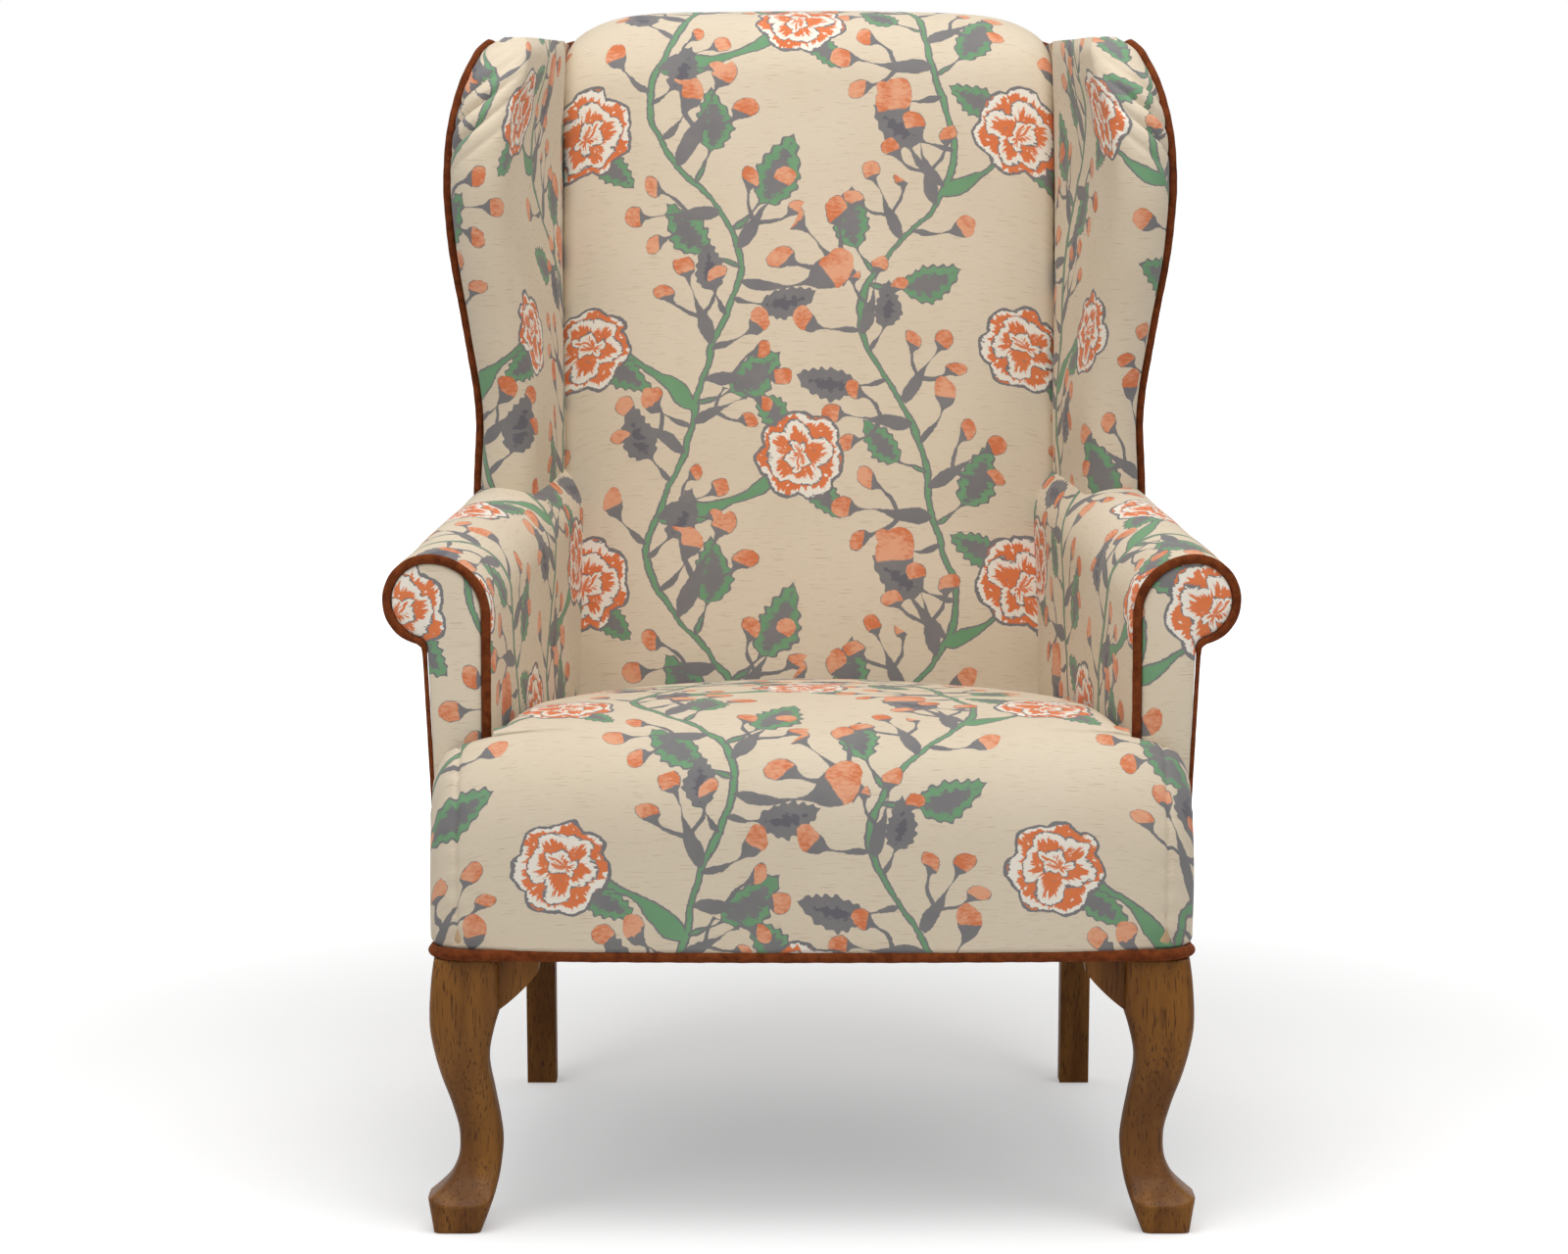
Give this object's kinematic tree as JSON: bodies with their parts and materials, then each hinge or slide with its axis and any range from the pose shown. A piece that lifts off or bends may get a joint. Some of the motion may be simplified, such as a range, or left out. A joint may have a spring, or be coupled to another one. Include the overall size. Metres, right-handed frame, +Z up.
{
  "type": "wingback armchair",
  "caption": "Upholstered wing chair with a stuffed-over seat, scroll arms, padded wings, contrast welts, cabriole front legs and straight rear legs.",
  "frame": {"origin": "on the floor, under the middle of the chair's overall box", "axes": "+Z up, the chair faces -Y, X runs across it and is its mirror axis"},
  "size_m": [0.776, 0.8181, 1.111],
  "materials": {
    "floral_linen": "cream linen printed with flowers",
    "velvet_welt": "rust brown velvet",
    "stained_wood": "satin, stained mid brown",
    "frame_wood": "plain planed hardwood",
    "foam": "soft stuffing",
    "webbing": "woven jute",
    "hessian": "open woven jute",
    "lining_cloth": "black cambric",
    "steel_bolt": "zinc plated"
  },
  "bodies": {
    "root": {"back_foam": "foam", "back_seat_rail": "frame_wood", "back_webbing": "webbing", "back_welt": "velvet_welt", "base_welt": "velvet_welt", "crest_rail": "frame_wood", "dust_cover": "lining_cloth", "front_seat_rail": "frame_wood", "inside_back_cover": "floral_linen", "left_arm_facing": "floral_linen", "left_arm_pad": "foam", "left_arm_post": "frame_wood", "left_arm_rail": "frame_wood", "left_arm_tack_rail": "frame_wood", "left_arm_welt": "velvet_welt", "left_back_post": "stained_wood", "left_front_corner_block": "frame_wood", "left_front_knee_block": "stained_wood", "left_front_leg": "stained_wood", "left_inside_arm_cover": "floral_linen", "left_inside_wing_cover": "floral_linen", "left_leg_bolt": "steel_bolt", "left_outside_arm_panel": "floral_linen", "left_outside_wing_panel": "floral_linen", "left_rear_corner_block": "frame_wood", "left_side_knee_block": "stained_wood", "left_side_rail": "frame_wood", "left_wing_pad": "foam", "left_wing_post": "frame_wood", "left_wing_top_rail": "frame_wood", "left_wing_welt": "velvet_welt", "lower_back_rail": "frame_wood", "outside_back_panel": "floral_linen", "right_arm_facing": "floral_linen", "right_arm_pad": "foam", "right_arm_post": "frame_wood", "right_arm_rail": "frame_wood", "right_arm_tack_rail": "frame_wood", "right_arm_welt": "velvet_welt", "right_back_post": "stained_wood", "right_front_corner_block": "frame_wood", "right_front_knee_block": "stained_wood", "right_front_leg": "stained_wood", "right_inside_arm_cover": "floral_linen", "right_inside_wing_cover": "floral_linen", "right_leg_bolt": "steel_bolt", "right_outside_arm_panel": "floral_linen", "right_outside_wing_panel": "floral_linen", "right_rear_corner_block": "frame_wood", "right_side_knee_block": "stained_wood", "right_side_rail": "frame_wood", "right_wing_pad": "foam", "right_wing_post": "frame_wood", "right_wing_top_rail": "frame_wood", "right_wing_welt": "velvet_welt", "seat_cover": "floral_linen", "seat_foam": "foam", "seat_hessian": "hessian", "seat_webbing_crosswise": "webbing", "seat_webbing_lengthwise": "webbing"}
  },
  "joints": []
}
